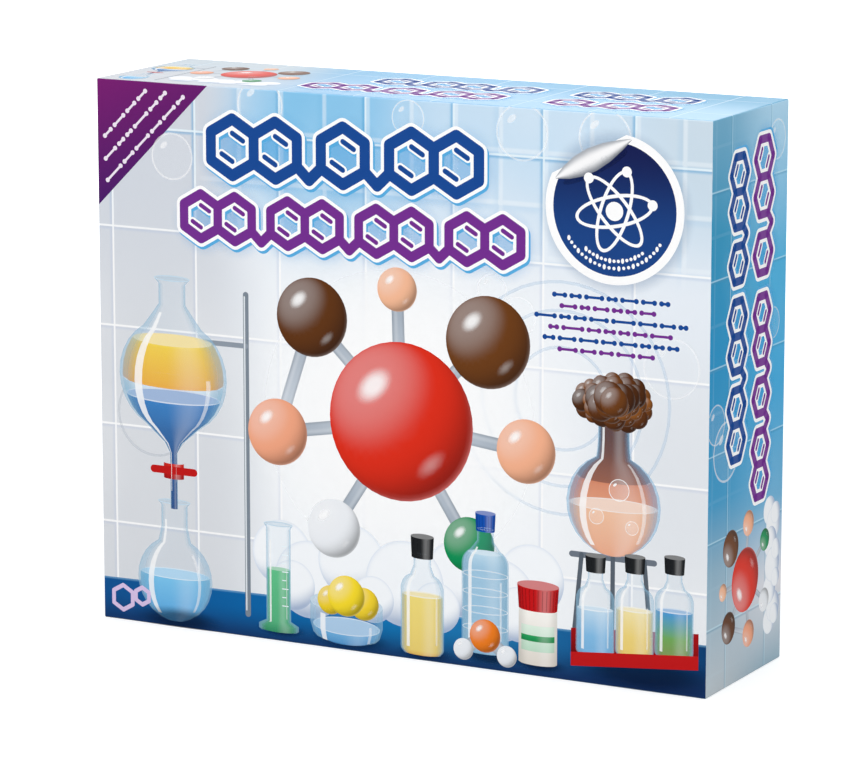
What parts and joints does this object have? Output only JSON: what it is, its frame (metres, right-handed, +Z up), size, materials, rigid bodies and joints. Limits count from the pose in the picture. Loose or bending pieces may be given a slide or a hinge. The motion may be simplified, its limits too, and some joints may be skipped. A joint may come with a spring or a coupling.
{
  "type": "chemistry set case",
  "caption": "Board box with a full-depth lift-off lid, standing on its long edge, with a moulded insert that holds goggles, glassware and tools",
  "frame": {"origin": "middle of the lower face of the closed box", "axes": "+X along the long side, to the viewer's right; +Y from the printed front to the back; +Z up"},
  "size_m": [0.34, 0.09, 0.28],
  "materials": {
    "printed_board": "full-colour print under gloss varnish",
    "white_board": "white lined board, matt",
    "insert_plastic": "thermoformed white sheet, semi-gloss",
    "booklet_paper": "coated paper",
    "clear_vinyl": "soft clear vinyl",
    "clear_lens": "polished clear sheet",
    "elastic": "woven elastic",
    "red_plastic": "moulded, glossy",
    "clear_plastic": "moulded clear polystyrene",
    "milky_plastic": "moulded polypropylene",
    "white_plastic": "moulded polypropylene",
    "black_plastic": "moulded, satin",
    "black_rubber": "moulded rubber",
    "straw_plastic": "thin plastic with a green stripe",
    "red_rubber": "thin latex",
    "indicator_paper": "absorbent paper"
  },
  "bodies": {
    "base": {"base_shell": "white_board", "insert_goggles_section": "insert_plastic", "insert_syringe_section": "insert_plastic", "insert_petri_section": "insert_plastic", "insert_jars_section": "insert_plastic", "insert_tweezers_section": "insert_plastic", "insert_rods_section": "insert_plastic", "insert_rack_section": "insert_plastic", "insert_balloons_section": "insert_plastic", "insert_beaker_section": "insert_plastic", "insert_flask_section": "insert_plastic", "instruction_booklet": "booklet_paper", "goggles_frame": "clear_vinyl", "goggles_lens": "clear_lens", "goggles_strap": "elastic", "tube_rack": "red_plastic", "test_tube_1": "clear_plastic", "test_tube_2": "clear_plastic", "test_tube_3": "clear_plastic", "test_tube_4": "clear_plastic", "conical_flask": "clear_plastic", "beaker": "clear_plastic", "petri_dish_base": "clear_plastic", "jar_white_body": "milky_plastic", "jar_red_body": "milky_plastic", "syringe_barrel": "clear_plastic", "pipette": "clear_vinyl", "tweezers_lower_arm": "black_plastic", "stirring_rod": "red_plastic", "drinking_straw": "straw_plastic", "balloon_1": "red_rubber", "balloon_2": "red_rubber", "indicator_strips": "indicator_paper"},
    "lid": {"lid_shell": "printed_board"},
    "tube_cap_1": {"tube_cap_1": "black_plastic"},
    "tube_cap_2": {"tube_cap_2": "black_plastic"},
    "tube_cap_3": {"tube_cap_3": "black_plastic"},
    "tube_cap_4": {"tube_cap_4": "black_plastic"},
    "flask_stopper": {"flask_stopper": "black_rubber"},
    "jar_white_cap": {"jar_white_cap": "white_plastic"},
    "jar_red_cap": {"jar_red_cap": "red_plastic"},
    "petri_dish_lid": {"petri_dish_lid": "clear_plastic"},
    "syringe_plunger": {"syringe_plunger": "milky_plastic", "syringe_seal": "black_rubber"},
    "tweezers_upper_arm": {"tweezers_upper_arm": "black_plastic"}
  },
  "joints": [
    {"name": "lid_lift", "type": "slide", "parent": "base", "child": "lid", "axis": [0, -1, 0], "range_m": [0, 0.24]},
    {"name": "tube_cap_1_pull", "type": "slide", "parent": "base", "child": "tube_cap_1", "axis": [0, 0, 1], "range_m": [0, 0.009]},
    {"name": "tube_cap_2_pull", "type": "slide", "parent": "base", "child": "tube_cap_2", "axis": [0, 0, 1], "range_m": [0, 0.009]},
    {"name": "tube_cap_3_pull", "type": "slide", "parent": "base", "child": "tube_cap_3", "axis": [0, 0, 1], "range_m": [0, 0.009]},
    {"name": "tube_cap_4_pull", "type": "slide", "parent": "base", "child": "tube_cap_4", "axis": [0, 0, 1], "range_m": [0, 0.009]},
    {"name": "flask_stopper_pull", "type": "slide", "parent": "base", "child": "flask_stopper", "axis": [0, 0, 1], "range_m": [0, 0.012]},
    {"name": "jar_white_cap_turn", "type": "hinge", "parent": "base", "child": "jar_white_cap", "pos_m": [-0.0768, -0.0152, 0.08213], "axis": [0, 0, 1], "continuous": true},
    {"name": "jar_red_cap_turn", "type": "hinge", "parent": "base", "child": "jar_red_cap", "pos_m": [-0.0358, -0.0152, 0.08213], "axis": [0, 0, 1], "continuous": true},
    {"name": "petri_lid_lift", "type": "slide", "parent": "base", "child": "petri_dish_lid", "axis": [0, -1, 0], "range_m": [0, 0.0075]},
    {"name": "plunger_draw", "type": "slide", "parent": "base", "child": "syringe_plunger", "axis": [0, 0, 1], "range_m": [0, 0.045]},
    {"name": "tweezers_squeeze", "type": "hinge", "parent": "base", "child": "tweezers_upper_arm", "pos_m": [-0.093, -0.029, 0.02441], "axis": [0, 1, 0], "range_deg": [0, 7], "stiffness_Nm_per_rad": 0.2}
  ]
}
